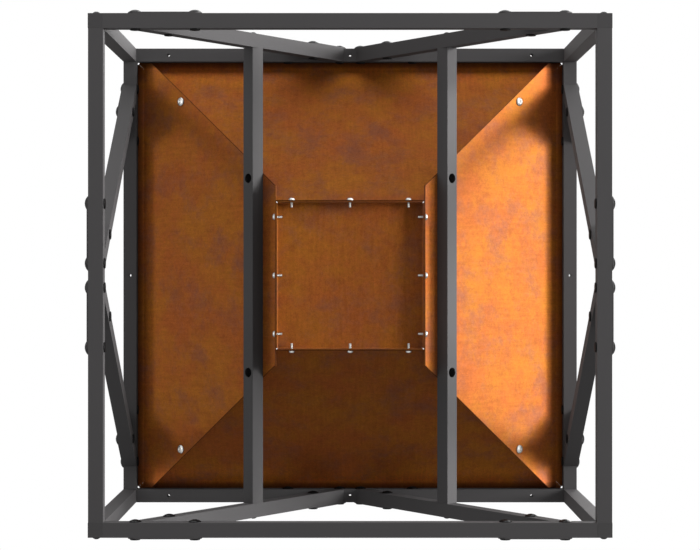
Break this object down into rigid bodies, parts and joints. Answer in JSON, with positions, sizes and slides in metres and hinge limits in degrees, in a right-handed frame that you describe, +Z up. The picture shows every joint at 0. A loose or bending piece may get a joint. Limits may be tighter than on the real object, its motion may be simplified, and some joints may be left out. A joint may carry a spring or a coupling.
{
  "type": "fire pit",
  "caption": "Square open fire pit: a sloping weathering steel bowl screwed into a braced, dark powder-coated square tube frame that stands on the ground.",
  "frame": {"origin": "on the floor, under the middle of the frame", "axes": "+Z up; front towards -Y; the crossbars run along Y; the braces peak on the front and back and form a V on the left and right"},
  "size_m": [0.7102, 0.7095, 0.4215],
  "materials": {
    "frame_coating": "matt anthracite powder coat, fine texture",
    "weathering_steel": "matt mottled rust patina",
    "zinc_screws": "bright zinc plated",
    "black_bolts": "black oxide, semi-gloss",
    "threaded_plugs": "plain steel",
    "foot_caps": "matt anthracite"
  },
  "bodies": {
    "root": {"bowl_floor": "weathering_steel", "bowl_panel_back": "weathering_steel", "bowl_panel_front": "weathering_steel", "bowl_panel_left": "weathering_steel", "bowl_panel_right": "weathering_steel", "brace_back_left": "frame_coating", "brace_back_right": "frame_coating", "brace_bolts": "black_bolts", "brace_front_left": "frame_coating", "brace_front_right": "frame_coating", "brace_left_back": "frame_coating", "brace_left_front": "frame_coating", "brace_nuts": "black_bolts", "brace_right_back": "frame_coating", "brace_right_front": "frame_coating", "crossbar_bolts": "black_bolts", "crossbar_left": "frame_coating", "crossbar_plugs": "threaded_plugs", "crossbar_right": "frame_coating", "crossbar_screws": "zinc_screws", "floor_screws": "zinc_screws", "foot_cap_back_left": "foot_caps", "foot_cap_back_right": "foot_caps", "foot_cap_front_left": "foot_caps", "foot_cap_front_right": "foot_caps", "gusset_back_left_lower": "frame_coating", "gusset_back_left_upper": "frame_coating", "gusset_back_right_lower": "frame_coating", "gusset_back_right_upper": "frame_coating", "gusset_front_left_lower": "frame_coating", "gusset_front_left_upper": "frame_coating", "gusset_front_right_lower": "frame_coating", "gusset_front_right_upper": "frame_coating", "gusset_left_back_lower": "frame_coating", "gusset_left_back_upper": "frame_coating", "gusset_left_front_lower": "frame_coating", "gusset_left_front_upper": "frame_coating", "gusset_right_back_lower": "frame_coating", "gusset_right_back_upper": "frame_coating", "gusset_right_front_lower": "frame_coating", "gusset_right_front_upper": "frame_coating", "hip_screws": "zinc_screws", "leg_back_left": "frame_coating", "leg_back_right": "frame_coating", "leg_front_left": "frame_coating", "leg_front_right": "frame_coating", "lower_rail_back": "frame_coating", "lower_rail_front": "frame_coating", "lower_rail_left": "frame_coating", "lower_rail_right": "frame_coating", "side_rail_bolts": "black_bolts", "side_rail_plugs": "threaded_plugs", "upper_rail_back": "frame_coating", "upper_rail_front": "frame_coating", "upper_rail_left": "frame_coating", "upper_rail_right": "frame_coating"}
  },
  "joints": []
}
